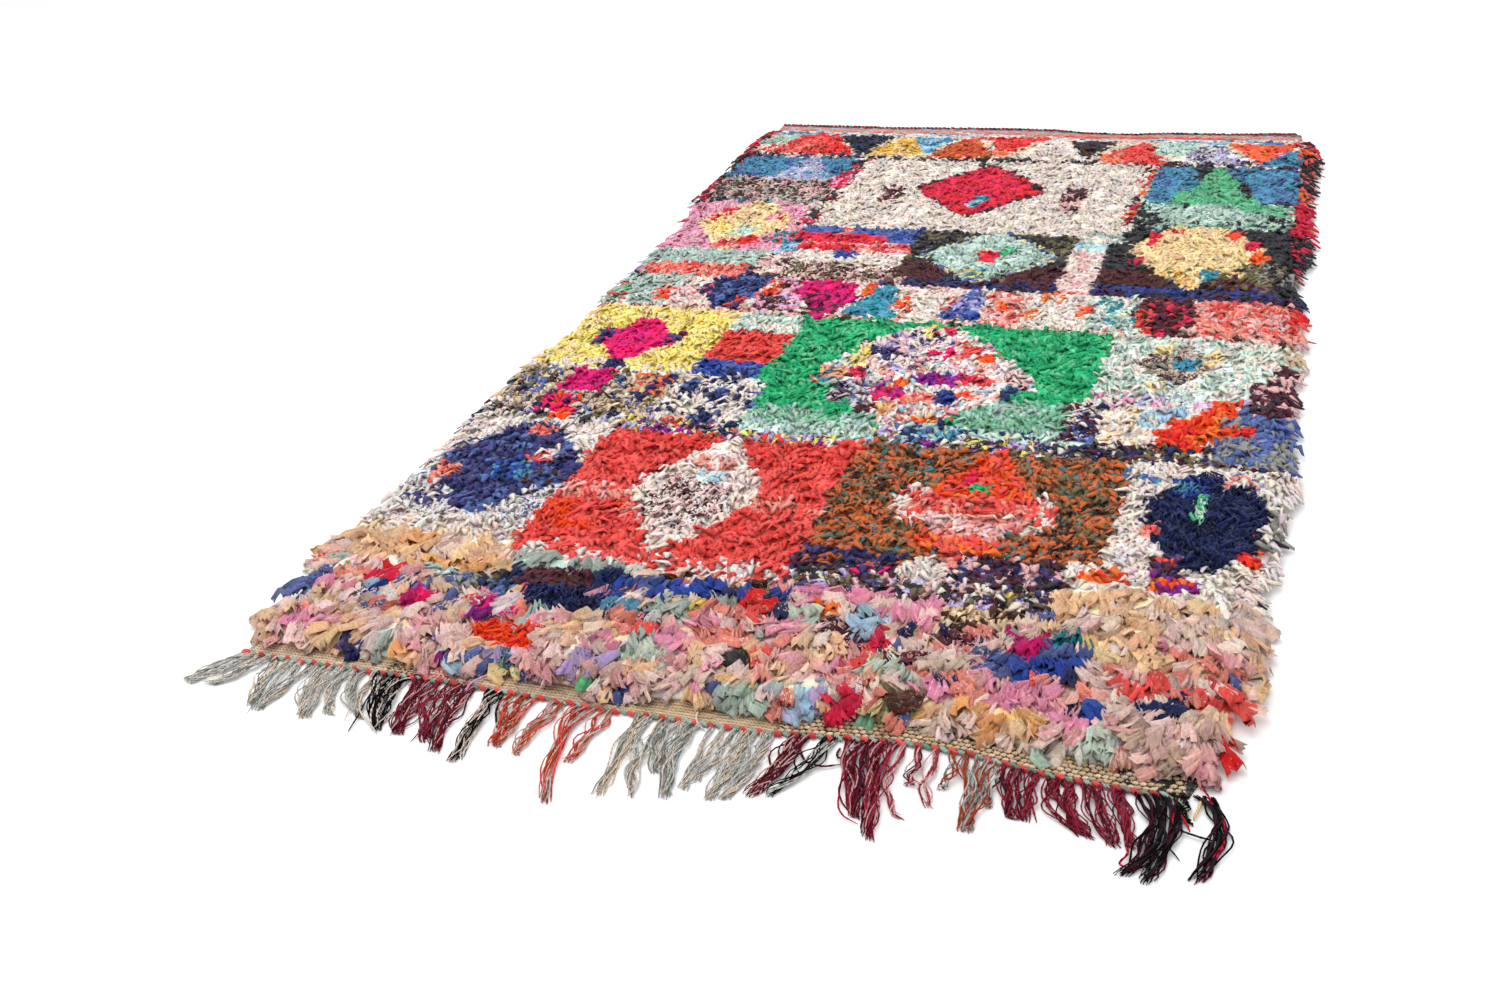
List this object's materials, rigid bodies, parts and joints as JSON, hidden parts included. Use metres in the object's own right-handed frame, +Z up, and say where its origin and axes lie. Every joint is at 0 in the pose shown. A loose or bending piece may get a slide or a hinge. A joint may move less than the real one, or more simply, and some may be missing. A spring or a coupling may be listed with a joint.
{
  "type": "boucherouite rug",
  "caption": "Long flat rag rug with a shaggy pile of knotted cloth strips in lozenge and block patterns, twined ends and a loose warp fringe at one end.",
  "frame": {"origin": "on the floor, under the middle of the whole rug with its fringe", "axes": "+Z up, +Y along the rug from the fringed front end to the back, +X to the right seen from the fringe"},
  "size_m": [1.5006, 2.8552, 0.035],
  "materials": {
    "ground_cotton": "flat woven tan cotton, matt",
    "pile_rags": "knotted cloth strips and yarn in many colours, matt",
    "front_cord_yarn": "red and green wool twined, matt",
    "back_cord_yarn": "dark red and olive wool twined, matt",
    "grey_wool": "grey and white spun wool, matt",
    "black_wool": "black spun wool, matt",
    "burgundy_wool": "burgundy spun wool, matt",
    "black_white_wool": "black and white spun wool, matt",
    "orange_wool": "orange and grey spun wool, matt",
    "grey_orange_wool": "grey wool with orange ends, matt",
    "crimson_wool": "crimson spun wool, matt"
  },
  "bodies": {
    "root": {"woven_ground": "ground_cotton", "rag_pile": "pile_rags", "front_twined_cord": "front_cord_yarn", "back_twined_cord": "back_cord_yarn", "fringe_grey_left": "grey_wool", "fringe_black_left": "black_wool", "fringe_burgundy_left": "burgundy_wool", "fringe_black_white": "black_white_wool", "fringe_orange": "orange_wool", "fringe_grey_middle": "grey_wool", "fringe_burgundy_loop": "burgundy_wool", "fringe_black_middle": "black_white_wool", "fringe_burgundy_middle": "burgundy_wool", "fringe_grey_orange": "grey_orange_wool", "fringe_crimson": "crimson_wool", "fringe_black_right": "black_wool"}
  },
  "joints": []
}
